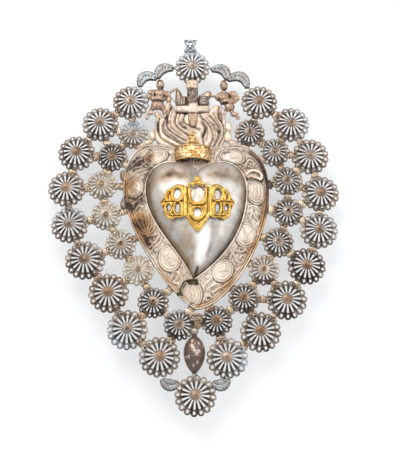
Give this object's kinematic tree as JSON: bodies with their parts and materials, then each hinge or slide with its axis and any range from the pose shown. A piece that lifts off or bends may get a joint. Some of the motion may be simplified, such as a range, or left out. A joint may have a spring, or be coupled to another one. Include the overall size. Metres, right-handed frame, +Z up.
{
  "type": "votive heart plaque",
  "caption": "Wall-hung votive heart: a raised silver heart in an embossed border with flames, a cross and a gilt crown, framed by rings of pierced rosettes.",
  "frame": {"origin": "on the axis of the nail hole in the hanging finial, at the wall plane", "axes": "+Z up along the wall, +Y into the wall, so the heart's front faces -Y; +X to the viewer's right"},
  "size_m": [0.192, 0.0225, 0.2597],
  "materials": {
    "tarnished_silver": "dark tarnished silver",
    "pale_silver": "pale warm silver",
    "polished_silver": "polished silver",
    "gilt": "satin gilding",
    "copper": "dull copper",
    "dark_wire": "dark oxidised wire"
  },
  "bodies": {
    "root": {"arm_mounds": "tarnished_silver", "back_plate": "pale_silver", "bottom_brackets": "tarnished_silver", "cherub_left": "copper", "cherub_right": "copper", "copper_bosses": "copper", "cross": "pale_silver", "cross_cap": "pale_silver", "crown": "gilt", "crown_orb": "gilt", "drop_hanger": "tarnished_silver", "embossed_border": "pale_silver", "flame_sheet": "pale_silver", "gilt_plaque": "gilt", "hanging_finial": "tarnished_silver", "heart_dome": "polished_silver", "inner_rosette_left_1": "tarnished_silver", "inner_rosette_left_2": "tarnished_silver", "inner_rosette_left_3": "tarnished_silver", "inner_rosette_left_4": "tarnished_silver", "inner_rosette_left_5": "tarnished_silver", "inner_rosette_left_6": "tarnished_silver", "inner_rosette_left_7": "tarnished_silver", "inner_rosette_left_8": "tarnished_silver", "inner_rosette_right_1": "tarnished_silver", "inner_rosette_right_2": "tarnished_silver", "inner_rosette_right_3": "tarnished_silver", "inner_rosette_right_4": "tarnished_silver", "inner_rosette_right_5": "tarnished_silver", "inner_rosette_right_6": "tarnished_silver", "inner_rosette_right_7": "tarnished_silver", "inner_rosette_right_8": "tarnished_silver", "link_tabs": "pale_silver", "outer_rosette_bottom": "tarnished_silver", "outer_rosette_left_1": "tarnished_silver", "outer_rosette_left_2": "tarnished_silver", "outer_rosette_left_3": "tarnished_silver", "outer_rosette_left_4": "tarnished_silver", "outer_rosette_left_5": "tarnished_silver", "outer_rosette_left_6": "tarnished_silver", "outer_rosette_left_7": "tarnished_silver", "outer_rosette_left_8": "tarnished_silver", "outer_rosette_left_9": "tarnished_silver", "outer_rosette_right_1": "tarnished_silver", "outer_rosette_right_2": "tarnished_silver", "outer_rosette_right_3": "tarnished_silver", "outer_rosette_right_4": "tarnished_silver", "outer_rosette_right_5": "tarnished_silver", "outer_rosette_right_6": "tarnished_silver", "outer_rosette_right_7": "tarnished_silver", "outer_rosette_right_8": "tarnished_silver", "outer_rosette_right_9": "tarnished_silver", "outer_rosette_top": "tarnished_silver", "pod_bead": "tarnished_silver", "pod_drop": "tarnished_silver", "rosette_rivets": "tarnished_silver", "solder_blob": "pale_silver", "tie_knot": "tarnished_silver", "top_brackets": "tarnished_silver", "wire_tie": "dark_wire"}
  },
  "joints": []
}
